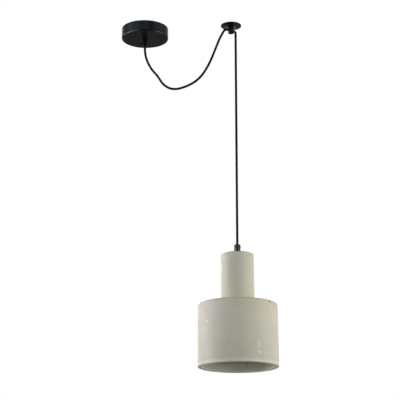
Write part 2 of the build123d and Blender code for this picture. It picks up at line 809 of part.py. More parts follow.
post_mid = insulator_top - post_h / 2
with BuildPart() as lampholder_terminals:
    with BuildSketch(under_shade(insulator_top)):
        with PolarLocations(post_r, 2):
            Rectangle(post_l, post_w)
            Circle(core_d / 2 + slip_gap, mode=Mode.SUBTRACT)
    extrude(amount=post_h)
    for side in (1, -1):
        with BuildSketch(Plane((drop_x + side * post_r, 0, -post_mid), z_dir=(side, 0, 0))):
            Circle(post_screw_d / 2 + thread_gap)
        extrude(amount=post_l, mode=Mode.SUBTRACT)
finish(lampholder_terminals, "lampholder_terminals")

with BuildPart() as lampholder_terminal_screws:
    for side in (1, -1):
        screw_start = post_r + core_d / 2 + core_screw_gap
        with BuildSketch(Plane((drop_x + side * screw_start, 0, -post_mid), z_dir=(side, 0, 0))):
            Circle(post_screw_d / 2)
        extrude(amount=post_screw_l)
        screw_end = screw_start + post_screw_l
        with BuildSketch(Plane((drop_x + side * screw_end, 0, -post_mid), z_dir=(side, 0, 0))):
            Rectangle(screw_slot_w, post_screw_d)
        extrude(amount=-screw_slot_depth, mode=Mode.SUBTRACT)
finish(lampholder_terminal_screws, "lampholder_terminal_screws")

tail_bottom = entry_bottom + tail_below_entry
with BuildPart() as pendant_cord_tail:
    with BuildSketch(under_shade(drop_end)):
        Circle(cord_r)
    extrude(amount=-(tail_bottom - drop_end))
finish(pendant_cord_tail, "pendant_cord_tail")

for side, core_name in ((1, "lampholder_live_core"), (-1, "lampholder_neutral_core")):
    core_route = [
        (drop_x + side * core_side, 0, -tail_bottom),
        (drop_x + side * core_side, 0, -tail_bottom - core_straight_l),
        (drop_x + side * post_r, 0, -tail_bottom - core_straight_l - core_slant_h),
        (drop_x + side * post_r, 0, -post_mid - core_d),
    ]
    with BuildPart() as lampholder_core:
        round_sweep(core_route, corner_radii(core_route), core_d)
    finish(lampholder_core, core_name)

swag_section = pi * cord_r**2
print("swag radii", [round(radius, 1) for radius in swag_radii])
print("swag length", round(swag_length, 1), "by volume", round(swag_cord.part.volume / swag_section, 1))
print("drop length", round(drop_bottom - drop_pivot, 1), "from depth", round(drop_pivot, 3))
print("drop at X", round(drop_x, 3), "slot pitch", round(slot_pitch, 3), "holder radius", round(holder_r, 3))
print("bend starts at", round(bend_start.X, 3), round(bend_start.Z, 3))
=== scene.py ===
import math
import random
from collections import namedtuple

import bmesh
import bpy
from mathutils import Matrix, Vector, kdtree, noise


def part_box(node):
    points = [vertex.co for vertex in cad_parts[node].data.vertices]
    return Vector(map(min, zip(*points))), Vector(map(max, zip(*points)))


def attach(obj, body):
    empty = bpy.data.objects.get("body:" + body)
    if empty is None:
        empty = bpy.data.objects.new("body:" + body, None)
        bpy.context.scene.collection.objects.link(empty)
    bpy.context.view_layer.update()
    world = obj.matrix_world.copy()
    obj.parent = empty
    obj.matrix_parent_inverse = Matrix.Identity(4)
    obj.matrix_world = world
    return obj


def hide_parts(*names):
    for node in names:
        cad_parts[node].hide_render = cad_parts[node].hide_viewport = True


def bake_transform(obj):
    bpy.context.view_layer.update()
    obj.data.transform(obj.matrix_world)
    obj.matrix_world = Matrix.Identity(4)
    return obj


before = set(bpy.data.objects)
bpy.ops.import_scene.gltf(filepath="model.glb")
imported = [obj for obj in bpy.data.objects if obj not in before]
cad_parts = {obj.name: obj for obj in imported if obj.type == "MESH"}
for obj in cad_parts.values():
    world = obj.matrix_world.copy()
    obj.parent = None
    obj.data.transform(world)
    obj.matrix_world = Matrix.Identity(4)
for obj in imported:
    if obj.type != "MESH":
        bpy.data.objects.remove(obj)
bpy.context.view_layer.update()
scene = bpy.context.scene
print("frame loaded with", len(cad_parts), "CAD nodes")


def middleOf(node):
    low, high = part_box(node)
    return (low + high) / 2


def topOf(node):
    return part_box(node)[1].z


def bottomOf(node):
    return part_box(node)[0].z


def radiusOf(node):
    low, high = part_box(node)
    return (high.y - low.y) / 2


canopyAxis = Vector((0.0, 0.0, 0.0))
shadeAxis = Vector((middleOf("concrete_shade").x, 0.0, 0.0))


# Camera at the photograph's place, below the shade's rim and looking up

photoCamera = {
    "place": (0.40304, -2.5703, -1.12642),
    "heading": 6.299,  # degrees, turned left of straight ahead
    "tilt": 15.958,  # degrees above the horizon
    "lens": 117.0,
    "sensor": 36.0,
    "farthest": 60.0,
}


def makeCamera():
    data = bpy.data.cameras.new("photoCamera")
    data.lens = photoCamera["lens"]
    data.sensor_width = photoCamera["sensor"]
    data.clip_end = photoCamera["farthest"]
    camera = bpy.data.objects.new("photoCamera", data)
    camera.location = photoCamera["place"]
    upright = 90.0 + photoCamera["tilt"]
    camera.rotation_euler = (math.radians(upright), 0.0, math.radians(photoCamera["heading"]))
    scene.collection.objects.link(camera)
    scene.camera = camera


makeCamera()
print("camera placed")


# Building blocks for materials

finishes = {}


def colour(red, green, blue):
    return (red, green, blue, 1.0)


def addNode(tree, kind, inputs=None, **settings):
    made = tree.nodes.new("ShaderNode" + kind)
    for setting, value in settings.items():
        setattr(made, setting, value)
    for socket, value in (inputs or {}).items():
        if isinstance(value, bpy.types.NodeSocket):
            tree.links.new(value, made.inputs[socket])
        else:
            made.inputs[socket].default_value = value
    return made


def newFinish(name, sockets):
    material = bpy.data.materials.new(name)
    material.use_nodes = True
    finishes[name] = material
    tree = material.node_tree
    shader = tree.nodes["Principled BSDF"]
    for socket, value in sockets.items():
        shader.inputs[socket].default_value = value
    return tree, shader


def combine(tree, operation, first, second=0.0):
    return addNode(tree, "Math", {0: first, 1: second}, operation=operation).outputs[0]


def spread(tree, value, ends, results=(0.0, 1.0)):
    limits = {"From Min": ends[0], "From Max": ends[1], "To Min": results[0], "To Max": results[1]}
    return addNode(tree, "MapRange", {"Value": value, **limits}).outputs["Result"]


def blendColours(tree, share, first, second):
    sockets = {0: share, 6: first, 7: second}  # the factor and the two colours
    return addNode(tree, "Mix", sockets, data_type="RGBA").outputs[2]


def speckle(tree, place, scale, detail=4.0, roughness=0.5, distortion=0.0):
    if isinstance(scale, tuple):  # a scale for each axis stretches the pattern
        place = addNode(tree, "Mapping", {"Vector": place, "Scale": scale}).outputs["Vector"]
        scale = 1.0
    values = {"Scale": scale, "Detail": detail, "Roughness": roughness, "Distortion": distortion}
    return addNode(tree, "TexNoise", {"Vector": place, **values}).outputs["Fac"]


def relief(tree, height, strength, depth, under=None):
    bump = addNode(tree, "Bump", {"Height": height, "Strength": strength, "Distance": depth})
    if under:
        tree.links.new(under, bump.inputs["Normal"])
    return bump.outputs["Normal"]


# two tones mixed by stains, which vary the roughness too, and a fine grain in relief
def mottled(name, look, sockets, grainDetail=2.0):
    tree, shader = newFinish(name, sockets)
    coords = addNode(tree, "TexCoord").outputs
    stains = speckle(tree, coords["Object"], **look["stains"])
    grain = speckle(tree, coords[look["grainOn"]], look["grainScale"], grainDetail)
    tone = blendColours(tree, spread(tree, stains, look["toneEnds"]), *look["tones"])
    tree.links.new(tone, shader.inputs["Base Color"])
    tree.links.new(spread(tree, stains, look["roughEnds"], look["rough"]), shader.inputs["Roughness"])
    tree.links.new(relief(tree, grain, *look["relief"]), shader.inputs["Normal"])
    return tree, shader, tone


# Black paint on the canopy and the hook, with a painted highlight along the canopy's rounded edge

paint = {
    "tones": (colour(0.0058, 0.0072, 0.0086), colour(0.0080, 0.0095, 0.0111)),  # clean and dusty
    "paintedHighlight": colour(0.125, 0.135, 0.142),
    "sheen": colour(0.80, 0.93, 1.0),
    "gloss": {"canopyPaint": 0.034, "discPaint": 0.095, "stemPaint": 0.022},
    "stains": {"scale": 40.0},
    "toneEnds": (0.40, 0.70),
    "roughEnds": (0.35, 0.70),
    "rough": (0.16, 0.20),
    "grainOn": "Object",
    "grainScale": 1500.0,
    "relief": (0.04, 0.00005),  # strength and depth
}


def blackPaint(name, gloss):
    sockets = {"Specular IOR Level": gloss, "Specular Tint": paint["sheen"]}
    tree, shader, tone = mottled(name, paint, sockets)
    # painted highlight: a pale line along the canopy's rounded edge
    paintedHighlight = addNode(tree, "Attribute", attribute_name="paintedHighlight").outputs["Fac"]
    tree.links.new(blendColours(tree, paintedHighlight, tone, paint["paintedHighlight"]), shader.inputs["Base Color"])


# Black plastic of the cord grips

gripPlastic = {
    "stains": {"scale": 220.0, "detail": 6.0, "roughness": 0.65},
    "toneEnds": (0.50, 0.75),
    "roughEnds": (0.30, 0.70),
    "rough": (0.26, 0.42),
    "grainOn": "Object",
    "grainScale": 2600.0,
    "relief": (0.2, 0.00008),
}
grips = {  # tones are clean and scuffed
    "dullGrip": {
        "tones": (colour(0.0020, 0.0028, 0.0034), colour(0.0050, 0.0060, 0.0068)),
        "gloss": 0.03,
    },
    "glossyGrip": {
        "tones": (colour(0.0072, 0.0074, 0.0078), colour(0.0150, 0.0154, 0.0160)),
        "gloss": 0.075,
    },
}


def blackGrip(name, grip):
    mottled(name, {**gripPlastic, **grip}, {"Specular IOR Level": grip["gloss"]})


# Sheath of the cord, with faint lines along it

sheath = {
    "tones": (colour(0.0020, 0.0020, 0.0022), colour(0.0034, 0.0034, 0.0036)),  # clean and dusty
    "gloss": 0.03,
    "stains": {"scale": 260.0, "roughness": 0.6},
    "toneEnds": (0.45, 0.80),
    "roughEnds": (0.30, 0.70),
    "rough": (0.40, 0.52),
    "grainOn": "UV",
    "grainScale": (30.0, 24.0, 1.0),  # long along the cord, close round it
    "relief": (0.06, 0.0001),
}


def cordSheath():
    mottled("cordSheath", sheath, {"Specular IOR Level": sheath["gloss"]})


# Plated metal, stained and finely scratched

plating = {
    "stains": {"detail": 6.0, "roughness": 0.65},
    "toneEnds": (0.35, 0.70),
    "roughEnds": (0.30, 0.70),
    "grainOn": "Object",
    "grainScale": (300.0, 4000.0, 4000.0),
    "relief": (0.08, 0.00005),
}
metals = {  # tones are bright and dull
    "zincSteel": {
        "tones": (colour(0.62, 0.63, 0.62), colour(0.47, 0.47, 0.44)),
        "rough": (0.24, 0.42),
        "scale": 160.0,
    },
    "brass": {
        "tones": (colour(0.78, 0.56, 0.25), colour(0.58, 0.40, 0.17)),
        "rough": (0.20, 0.38),
        "scale": 200.0,
    },
}


def platedMetal(name, metal):
    stains = {"scale": metal["scale"], **plating["stains"]}
    mottled(name, {**plating, **metal, "stains": stains}, {"Metallic": 1.0})


# Moulded plastics, porcelain and rubber, a little cloudy

moulding = {
    "stains": {"roughness": 0.6, "distortion": 0.5},
    "toneEnds": (0.35, 0.70),
    "roughEnds": (0.30, 0.70),
    "grainOn": "Object",
    "grainRatio": 12.0,  # of the grain's scale to the stains'
    "relief": (0.12, 0.00008),
}
plastics = {  # tones are clear and cloudy
    "blockPlastic": {
        "tones": (colour(0.78, 0.77, 0.72), colour(0.68, 0.66, 0.60)),
        "gloss": 0.4,
        "rough": (0.35, 0.47),
        "scale": 140.0,
    },
    "holderPlastic": {
        "tones": (colour(0.010, 0.010, 0.011), colour(0.018, 0.018, 0.018)),
        "gloss": 0.25,
        "rough": (0.32, 0.44),
        "scale": 120.0,
    },
    "porcelain": {
        "tones": (colour(0.80, 0.79, 0.75), colour(0.72, 0.70, 0.65)),
        "gloss": 0.5,
        "rough": (0.22, 0.34),
        "scale": 180.0,
    },
    "washerRubber": {
        "tones": (colour(0.012, 0.012, 0.012), colour(0.022, 0.021, 0.020)),
        "gloss": 0.2,
        "rough": (0.65, 0.77),
        "scale": 300.0,
    },
    "liveWire": {
        "tones": (colour(0.105, 0.045, 0.020), colour(0.135, 0.062, 0.030)),
        "gloss": 0.3,
        "rough": (0.38, 0.50),
        "scale": 400.0,
    },
    "neutralWire": {
        "tones": (colour(0.020, 0.085, 0.330), colour(0.030, 0.110, 0.380)),
        "gloss": 0.3,
        "rough": (0.38, 0.50),
        "scale": 400.0,
    },
}


def mouldedPlastic(name, plastic):
    look = {**moulding, **plastic}
    look["stains"] = {"scale": plastic["scale"], **moulding["stains"]}
    look["grainScale"] = moulding["grainRatio"] * plastic["scale"]
    mottled(name, look, {"Specular IOR Level": plastic["gloss"]})


# Striped sleeve of the earth lead

earthSleeve = {
    "green": colour(0.035, 0.22, 0.045),
    "yellow": colour(0.72, 0.55, 0.03),
    "grimy": colour(0.05, 0.05, 0.04),
    "stripes": 2.0,  # of each colour, round the wire
    "yellowShare": 0.45,
    "grimeScale": 500.0,
    "grimeEnds": (0.40, 0.80),
    "grimeShares": (0.0, 0.25),
    "rough": 0.42,
    "gloss": 0.3,
}


def stripedWire():
    sockets = {"Roughness": earthSleeve["rough"], "Specular IOR Level": earthSleeve["gloss"]}
    tree, shader = newFinish("earthWire", sockets)
    coords = addNode(tree, "TexCoord").outputs
    around = addNode(tree, "SeparateXYZ", {"Vector": coords["UV"]}).outputs["Y"]
    turned = combine(tree, "FRACT", combine(tree, "MULTIPLY", around, earthSleeve["stripes"]))
    stripe = combine(tree, "LESS_THAN", turned, earthSleeve["yellowShare"])
    striped = blendColours(tree, stripe, earthSleeve["green"], earthSleeve["yellow"])
    darkening = speckle(tree, coords["Object"], earthSleeve["grimeScale"])
    dulled = spread(tree, darkening, earthSleeve["grimeEnds"], earthSleeve["grimeShares"])
    dirty = blendColours(tree, dulled, striped, earthSleeve["grimy"])
    tree.links.new(dirty, shader.inputs["Base Color"])


# Cast concrete, with what the shade's mesh marks on it

concrete = {
    "grey": colour(0.527, 0.508, 0.470),
    "warm": colour(0.508, 0.489, 0.402),
    "sallow": colour(0.498, 0.477, 0.342),
    "olive": colour(0.478, 0.467, 0.374),
    "blush": colour(0.524, 0.484, 0.424),
    "mauve": colour(0.502, 0.472, 0.440),
    "pale": colour(0.640, 0.632, 0.570),
    "dark": colour(0.300, 0.292, 0.235),
    # painted shade for pinholes and pits, and a stain colour for streaks inside
    "hollow": colour(0.150, 0.140, 0.115),
    "inside": colour(0.530, 0.526, 0.355),
    # also painted light on one side of the inside, and pale streaks
    "insidePale": colour(0.640, 0.634, 0.490),
    # painted shade further inside
    "deep": colour(0.220, 0.210, 0.150),
    "fresh": colour(0.900, 0.900, 0.860),
    "drift": (-0.060, 0.030),  # from grey to warm across the shade
    "rise": (-0.650, -0.590),  # from warm to sallow up the shade
    "paleSide": (-0.040, 0.050),  # painted light: paler on one side of the hollow, across the shade
    "paleWander": (-0.02, 0.02),
    "lowerDarkening": ((0.008, 0.095), (0.20, 0.0)),  # heights above the rim, and the shares there; darker towards the bottom of the drum
    # painted light: a pale band along the rim
    "rimLightBand": ((0.0, 0.008), (0.75, 0.0)),
    # painted shade further inside
    "deepening": ((0.013, 0.021), (0.0, 0.55)),
    "textures": {
        "patches": {"scale": 13.0, "detail": 3.0, "distortion": 0.6},
        "clouds": {"scale": 55.0, "detail": 6.0, "roughness": 0.62},
        "bands": {"scale": (24.0, 24.0, 3.0), "detail": 3.0},
        "runs": {"scale": (48.0, 48.0, 5.0)},
        "grain": {"scale": 900.0, "detail": 5.0, "roughness": 0.7},
        "sand": {"scale": 2400.0, "detail": 2.0},
    },
    # pinholes are painted dark: painted shade in holes the mesh does not have
    "pinholeScale": 430.0,
    "pinholeEnds": (0.06, 0.14),
    "pinholeClouds": (0.52, 0.64),  # pinholes only where the clouds are pale
    "washes": [  # texture, its ends, the shares there, colour
        ("patches", (0.34, 0.50), (0.50, 0.0), "olive"),
        ("patches", (0.53, 0.70), (0.0, 0.70), "blush"),
        ("bands", (0.52, 0.68), (0.0, 0.75), "mauve"),
        ("bands", (0.32, 0.48), (0.75, 0.0), "olive"),
        ("clouds", (0.55, 0.80), (0.0, 0.36), "pale"),
        ("clouds", (0.20, 0.45), (0.20, 0.0), "dark"),
        ("runs", (0.58, 0.78), (0.0, 0.16), "dark"),
        ("runs", (0.20, 0.42), (0.20, 0.0), "pale"),
        ("grain", (0.62, 0.80), (0.0, 0.30), "pale"),
        ("grain", (0.20, 0.40), (0.25, 0.0), "dark"),
    ],
    "streaks": [  # the same, inside the shade
        ("runs", (0.54, 0.68), (0.0, 0.55), "hollow"),
        ("runs", (0.34, 0.46), (0.40, 0.0), "insidePale"),
    ],
    "reliefs": [  # texture, strength, depth
        ("clouds", 0.3, 0.0005),
        ("grain", 0.25, 0.0003),
        ("sand", 0.2, 0.00015),
        ("unholed", 0.6, 0.0004),
    ],
    "roughEnds": (0.30, 0.70),
    "rough": (0.92, 0.78),
    "gloss": 0.16,
}


def concreteTextures(tree, place):
    textures = {name: speckle(tree, place, **look) for name, look in concrete["textures"].items()}
    cells = addNode(tree, "TexVoronoi", {"Vector": place, "Scale": concrete["pinholeScale"]})
    holes = spread(tree, cells.outputs["Distance"], concrete["pinholeEnds"], (1.0, 0.0))
    sparse = spread(tree, textures["clouds"], concrete["pinholeClouds"])
    textures["pinholes"] = combine(tree, "MULTIPLY", holes, sparse)
    textures["unholed"] = combine(tree, "SUBTRACT", 1.0, textures["pinholes"])
    return textures


def washed(tree, textures, washes, mixed):
    for texture, ends, shares, tint in washes:
        share = spread(tree, textures[texture], ends, shares)
        mixed = blendColours(tree, share, mixed, concrete[tint])
    return mixed


def aboveRim(tree, height, band, shares):
    rim = bottomOf("concrete_shade")
    return spread(tree, height, [rim + step for step in band], shares)


def castConcrete():
    tree, shader = newFinish("castConcrete", {"Specular IOR Level": concrete["gloss"]})
    coords = addNode(tree, "TexCoord").outputs["Object"]
    place = addNode(tree, "Mapping", {"Vector": coords, "Location": -shadeAxis}).outputs["Vector"]
    split = addNode(tree, "SeparateXYZ", {"Vector": place}).outputs
    textures = concreteTextures(tree, place)

    # cement colour: grey to warm across the shade, then patches, bands, clouds, water runs and grain
    raised = spread(tree, split["Z"], concrete["rise"])
    warm = blendColours(tree, raised, concrete["warm"], concrete["sallow"])
    cement = blendColours(tree, spread(tree, split["X"], concrete["drift"]), concrete["grey"], warm)
    cement = washed(tree, textures, concrete["washes"], cement)
    # pinholes painted dark, as painted shade
    cement = blendColours(tree, textures["pinholes"], cement, concrete["hollow"])

    # inside: painted light making one side paler, with a wandering border, streaked, and painted shade
    # darker further in
    wander = spread(tree, textures["bands"], (0.0, 1.0), concrete["paleWander"])
    paled = spread(tree, combine(tree, "ADD", split["X"], wander), concrete["paleSide"], (1.0, 0.0))
    lining = blendColours(tree, paled, concrete["inside"], concrete["insidePale"])
    lining = washed(tree, textures, concrete["streaks"], lining)
    # painted shade, darker further inside
    deepening = aboveRim(tree, split["Z"], *concrete["deepening"])
    lining = blendColours(tree, deepening, lining, concrete["deep"])

    # a darker lower wall, painted light as a pale band along the rim, then what the mesh marks
    for band, tint in (("lowerDarkening", "dark"), ("rimLightBand", "pale")):
        share = aboveRim(tree, split["Z"], *concrete[band])
        cement = blendColours(tree, share, cement, concrete[tint])
    marked = {
        "inner": lining,
        # painted shade on up-facing edges and under the rim, and scuffs
        "darkening": concrete["dark"],
        "wear": concrete["pale"],
        # painted shade in the pits
        "pit": concrete["hollow"],
        "chip": concrete["fresh"],
    }
    for layer, tint in marked.items():
        share = addNode(tree, "Attribute", attribute_name=layer).outputs["Fac"]
        cement = blendColours(tree, share, cement, tint)
    tree.links.new(cement, shader.inputs["Base Color"])

    rough = spread(tree, textures["clouds"], concrete["roughEnds"], concrete["rough"])
    tree.links.new(rough, shader.inputs["Roughness"])
    skin = None
    for texture, strength, depth in concrete["reliefs"]:
        skin = relief(tree, textures[texture], strength, depth, skin)
    tree.links.new(skin, shader.inputs["Normal"])


def makeFinishes():
    for name, gloss in paint["gloss"].items():
        blackPaint(name, gloss)
    for name, grip in grips.items():
        blackGrip(name, grip)
    for name, metal in metals.items():
        platedMetal(name, metal)
    for name, plastic in plastics.items():
        mouldedPlastic(name, plastic)
    cordSheath()
    stripedWire()
    castConcrete()


makeFinishes()
print("finishes made:", len(finishes))


# Building blocks for meshes

meshing = {
    "weld": 1e-6,  # corners this near are one, in metres
    "fineWeld": 1e-7,
    "flat": 0.5,  # degrees, below which two faces are one
    "sharp": 32.0,  # degrees, above which a CAD edge is rounded
    "roundSteps": 5,
}


def addPiece(mesh, name, finish, slot, body=None, nodes=(), sharpAngle=40.0):
    data = bpy.data.meshes.new(name)
    mesh.to_mesh(data)
    mesh.free()
    data.materials.append(finishes[finish])
    data.shade_smooth()
    data.set_sharp_from_angle(angle=math.radians(sharpAngle))
    piece = bpy.data.objects.new(name, data)
    scene.collection.objects.link(piece)
    if body:
        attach(piece, body)
    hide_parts(*nodes)
    return piece


def shareOf(value, low, high):
    return min(1.0, max(0.0, (value - low) / (high - low)))


def outwards(vertex, axis):
    spoke = vertex.co - axis
    spoke.z = 0.0
    return vertex.normal.dot(spoke.normalized())


def turnFrom(vertex, axis, turn):
    spoke = vertex.co - axis
    return math.remainder(math.atan2(spoke.x, -spoke.y) - math.radians(turn), math.tau)


# a closed outline of radius and height, its numbered corners rounded, turned about an upright axis
def spunMesh(axis, outline, rounds, steps, longest=None):
    mesh = bmesh.new()
    corners = [mesh.verts.new((axis.x + radius, axis.y, height)) for radius, height in outline]
    for first, second in zip(corners, corners[1:] + corners[:1]):
        mesh.edges.new((first, second))
    for number, size in rounds.items():
        bmesh.ops.bevel(
            mesh, geom=[corners[number]], offset=size, offset_type="OFFSET", affect="VERTICES",
            segments=meshing["roundSteps"], profile=0.5, material=-1, clamp_overlap=True,
        )
    if longest:
        for edge in mesh.edges[:]:
            cuts = math.ceil(edge.calc_length() / longest) - 1
            if cuts > 0:
                bmesh.ops.subdivide_edges(mesh, edges=[edge], cuts=cuts)
    bmesh.ops.spin(
        mesh, geom=mesh.verts[:] + mesh.edges[:], cent=axis, axis=(0.0, 0.0, 1.0),
        angle=math.tau, steps=steps, use_merge=True,
    )
    bmesh.ops.remove_doubles(mesh, verts=mesh.verts, dist=meshing["weld"])
    bmesh.ops.recalc_face_normals(mesh, faces=mesh.faces)
    return mesh


# a copy of a CAD node with its sharp edges rounded
def softMesh(node, edgeSize, steps=2):
    mesh = bmesh.new()
    mesh.from_mesh(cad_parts[node].data)
    bmesh.ops.remove_doubles(mesh, verts=mesh.verts, dist=meshing["weld"])
    flat = math.radians(meshing["flat"])
    bmesh.ops.dissolve_limit(mesh, angle_limit=flat, verts=mesh.verts, edges=mesh.edges)
    limit = math.radians(meshing["sharp"])
    sharp = [edge for edge in mesh.edges if edge.is_manifold and edge.calc_face_angle() > limit]
    bmesh.ops.bevel(
        mesh, geom=sharp, offset=edgeSize, offset_type="OFFSET", affect="EDGES",
        segments=steps, profile=0.5, material=-1, clamp_overlap=True,
    )
    bmesh.ops.remove_doubles(mesh, verts=mesh.verts, dist=meshing["fineWeld"])
    return mesh


def makeFittings(fittings, body):
    for node, name, finish, slot, edge in fittings:
        addPiece(softMesh(node, edge), name, finish, slot, body, (node,))


def routeLine(name, points, fineness):
    curve = bpy.data.curves.new(name, "CURVE")
    curve.dimensions = "3D"
    curve.resolution_u = fineness
    spline = curve.splines.new("NURBS")
    spline.points.add(len(points) - 1)
    for control, place in zip(spline.points, points):
        control.co = (*place, 1.0)
    spline.order_u = 3
    spline.use_endpoint_u = True
    guide = bpy.data.objects.new(name, curve)
    line = [vertex.co.copy() for vertex in bpy.data.meshes.new_from_object(guide).vertices]
    bpy.data.objects.remove(guide)
    return line


# a circle extruded along the line, with a UV map of metres along it and turns round it
def tubeMesh(line, radius, sides):
    mesh = bmesh.new()
    around = mesh.verts.layers.float.new("around")
    along = mesh.verts.layers.float.new("along")
    heading = (line[1] - line[0]).normalized()
    turn = heading.to_track_quat("Z", "Y").to_matrix().to_4x4()
    ring = bmesh.ops.create_circle(
        mesh, cap_ends=False, segments=sides, radius=radius, matrix=Matrix.Translation(line[0]) @ turn
    )["verts"]
    for number, vertex in enumerate(ring):
        vertex[around] = number / sides
    edges = mesh.edges[:]
    bmesh.ops.contextual_create(mesh, geom=edges)
    travelled = 0.0
    for number in range(1, len(line)):
        ahead = line[min(number + 1, len(line) - 1)] - line[number - 1]
        ahead.normalize()
        bent = heading.rotation_difference(ahead).to_matrix().to_4x4()
        step = Matrix.Translation(line[number]) @ bent @ Matrix.Translation(-line[number - 1])
        made = bmesh.ops.extrude_edge_only(mesh, edges=edges)["geom"]
        moved = [part for part in made if isinstance(part, bmesh.types.BMVert)]
        edges = [part for part in made if isinstance(part, bmesh.types.BMEdge)]
        bmesh.ops.transform(mesh, matrix=step, verts=moved)
        travelled += (line[number] - line[number - 1]).length
        for vertex in moved:
            vertex[along] = travelled
        heading = ahead
    edges = [edge for edge in edges if edge.is_boundary]
    bmesh.ops.contextual_create(mesh, geom=edges)
    bmesh.ops.recalc_face_normals(mesh, faces=mesh.faces)
    layer = mesh.loops.layers.uv.new("UVMap")
    for face in mesh.faces:
        shares = [loop.vert[around] for loop in face.loops]
        acrossSeam = max(shares) - min(shares) > 0.5
        for loop, share in zip(face.loops, shares):
            wrapped = share + 1.0 if acrossSeam and share < 0.5 else share
            loop[layer].uv = (loop.vert[along], wrapped)
    return mesh


# Cords: the swag from canopy to hook and through its stem, then the bend and the plumb drop

cordDiameter = 0.005
cordSides = 20

swag = {
    "nodes": ("swag_cord", "hook_cord"),
    "length": 0.330,
    "stiffness": "medium",
    "lay": "hanging",
    "fineness": 8,
    "points": [  # X and Z
        (0.0, -0.0395),
        (0.0, -0.055),
        (0.0054, -0.0749),
        (0.0155, -0.0941),
        (0.0282, -0.1085),
        (0.0409, -0.1306),
        (0.0621, -0.1421),
        (0.0914, -0.1355),
        (0.1186, -0.1191),
        (0.1382, -0.0885),
        (0.1504, -0.0579),
        (0.1606, -0.0309),
        (0.1668, -0.0188),
        (0.1702, -0.0124),
        (0.1728, -0.0093),
        (0.176276, -0.008388),
        (0.179095, -0.009414),
        (0.193305, -0.014586),
    ],
}

drop = {
    "nodes": ("cord_bend", "drop_cord"),
    "length": 0.471,
    "stiffness": "medium",
    "lay": "taut",
    "fineness": 24,
    "points": [  # X and Z
        (0.193305, -0.014586),
        (0.195837, -0.01551),
        (0.195937, -0.0232),
        (0.195937, -0.048),
        (0.195937, -0.4841),
    ],
    "bendStart": (0.195937, 0.0, -0.017),
    "bendEnd": (0.195937, 0.0, -0.032),
}


def makeCord(name, look, body=None):
    route = [Vector((x, 0.0, z)) for x, z in look["points"]]
    line = routeLine(name + "Route", route, look["fineness"])
    mesh = tubeMesh(line, cordDiameter / 2, cordSides)
    piece = addPiece(mesh, name, "cordSheath", "cord_sheath", body, look["nodes"])
    if "bendStart" in look:
        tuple(look["bendStart"])
        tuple(look["bendEnd"])
        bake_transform(piece)
    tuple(route[0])


makeCord("swagCord", swag, "ceiling")
makeCord("dropCord", drop)
print("cords laid")


# Light and floor

studio = {
    "target": (shadeAxis.x, 0.0, -0.55),
    "fillLevel": 1.01,  # from the sides, at the horizon
    "fillPoles": 0.30,  # from straight above and below
    "lamps": {  # a glint shows only in reflections
        "leftSoftbox": {"place": (-2.31, 0.70, -0.50), "size": (1.2, 2.0), "watts": 58.0},
        "rightSoftbox": {"place": (2.78, 0.24, -0.50), "size": (1.2, 2.0), "watts": 44.5},
        "highSoftbox": {"place": (-2.22, -0.60, 1.0), "size": (1.4, 1.0), "watts": 8.6},
        "leftGlint": {"place": (-1.80, -1.26, -0.25), "size": (1.6, 0.7), "watts": 150.0, "glint": True},
        "rightGlint": {"place": (1.94, -1.03, -0.25), "size": (1.2, 0.7), "watts": 65.0, "glint": True},
        "frontGlint": {"place": (-0.1, -3.6, 1.7), "size": (4.0, 1.2), "watts": 46.0, "glint": True},
        "leftHighGlint": {"place": (-3.06, -2.57, 1.7), "size": (4.0, 1.2), "watts": 70.0, "glint": True},
        "rightHighGlint": {"place": (3.8, -0.8, 1.7), "size": (4.4, 1.2), "watts": 42.0, "glint": True},
    },
}

paleFloor = {
    "height": -2.6,
    "radius": 9.0,
    "sides": 96,
    "tones": (colour(0.52, 0.52, 0.51), colour(0.56, 0.56, 0.55)),
    "toneScale": 3.0,
    "toneEnds": (0.30, 0.70),
    "rough": 0.9,
    "gloss": 0.1,
}


def makeWorld():
    world = bpy.data.worlds.new("studioWorld")
    scene.world = world
    world.use_nodes = True
    tree = world.node_tree
    back = tree.nodes["Background"]
    back.inputs["Color"].default_value = colour(1.0, 1.0, 1.0)
    way = addNode(tree, "TexCoord").outputs["Generated"]
    up = addNode(tree, "SeparateXYZ", {"Vector": way}).outputs["Z"]
    steep = combine(tree, "ABSOLUTE", up)
    fill = spread(tree, steep, (0.0, 1.0), (studio["fillLevel"], studio["fillPoles"]))
    # plain white where it is seen, mirrored or seen through
    path = addNode(tree, "LightPath").outputs
    seen = combine(tree, "MAXIMUM", path["Is Camera Ray"], path["Is Glossy Ray"])
    seen = combine(tree, "MAXIMUM", seen, path["Is Transmission Ray"])
    strength = addNode(tree, "Mix", {0: seen, 2: fill, 3: 1.0}, data_type="FLOAT").outputs[0]
    tree.links.new(strength, back.inputs["Strength"])


def makeLamps():
    for name, lamp in studio["lamps"].items():
        data = bpy.data.lights.new(name, "AREA")
        data.shape = "RECTANGLE"
        data.size, data.size_y = lamp["size"]
        data.energy = lamp["watts"]
        box = bpy.data.objects.new(name, data)
        box.location = lamp["place"]
        box.visible_diffuse = not lamp.get("glint")
        box.rotation_euler = (Vector(studio["target"]) - box.location).to_track_quat("-Z", "Y").to_euler()
        scene.collection.objects.link(box)


def floorFinish():
    sockets = {"Roughness": paleFloor["rough"], "Specular IOR Level": paleFloor["gloss"]}
    tree, shader = newFinish("paleFloor", sockets)
    place = addNode(tree, "TexCoord").outputs["Object"]
    tone = spread(tree, speckle(tree, place, paleFloor["toneScale"]), paleFloor["toneEnds"])
    tree.links.new(blendColours(tree, tone, *paleFloor["tones"]), shader.inputs["Base Color"])
    # clear from underneath, so that a view from below sees past it
    under = addNode(tree, "NewGeometry").outputs["Backfacing"]
    clear = addNode(tree, "BsdfTransparent").outputs["BSDF"]
    either = addNode(tree, "MixShader", {0: under, 1: shader.outputs["BSDF"], 2: clear}).outputs["Shader"]
    tree.links.new(either, tree.nodes["Material Output"].inputs["Surface"])


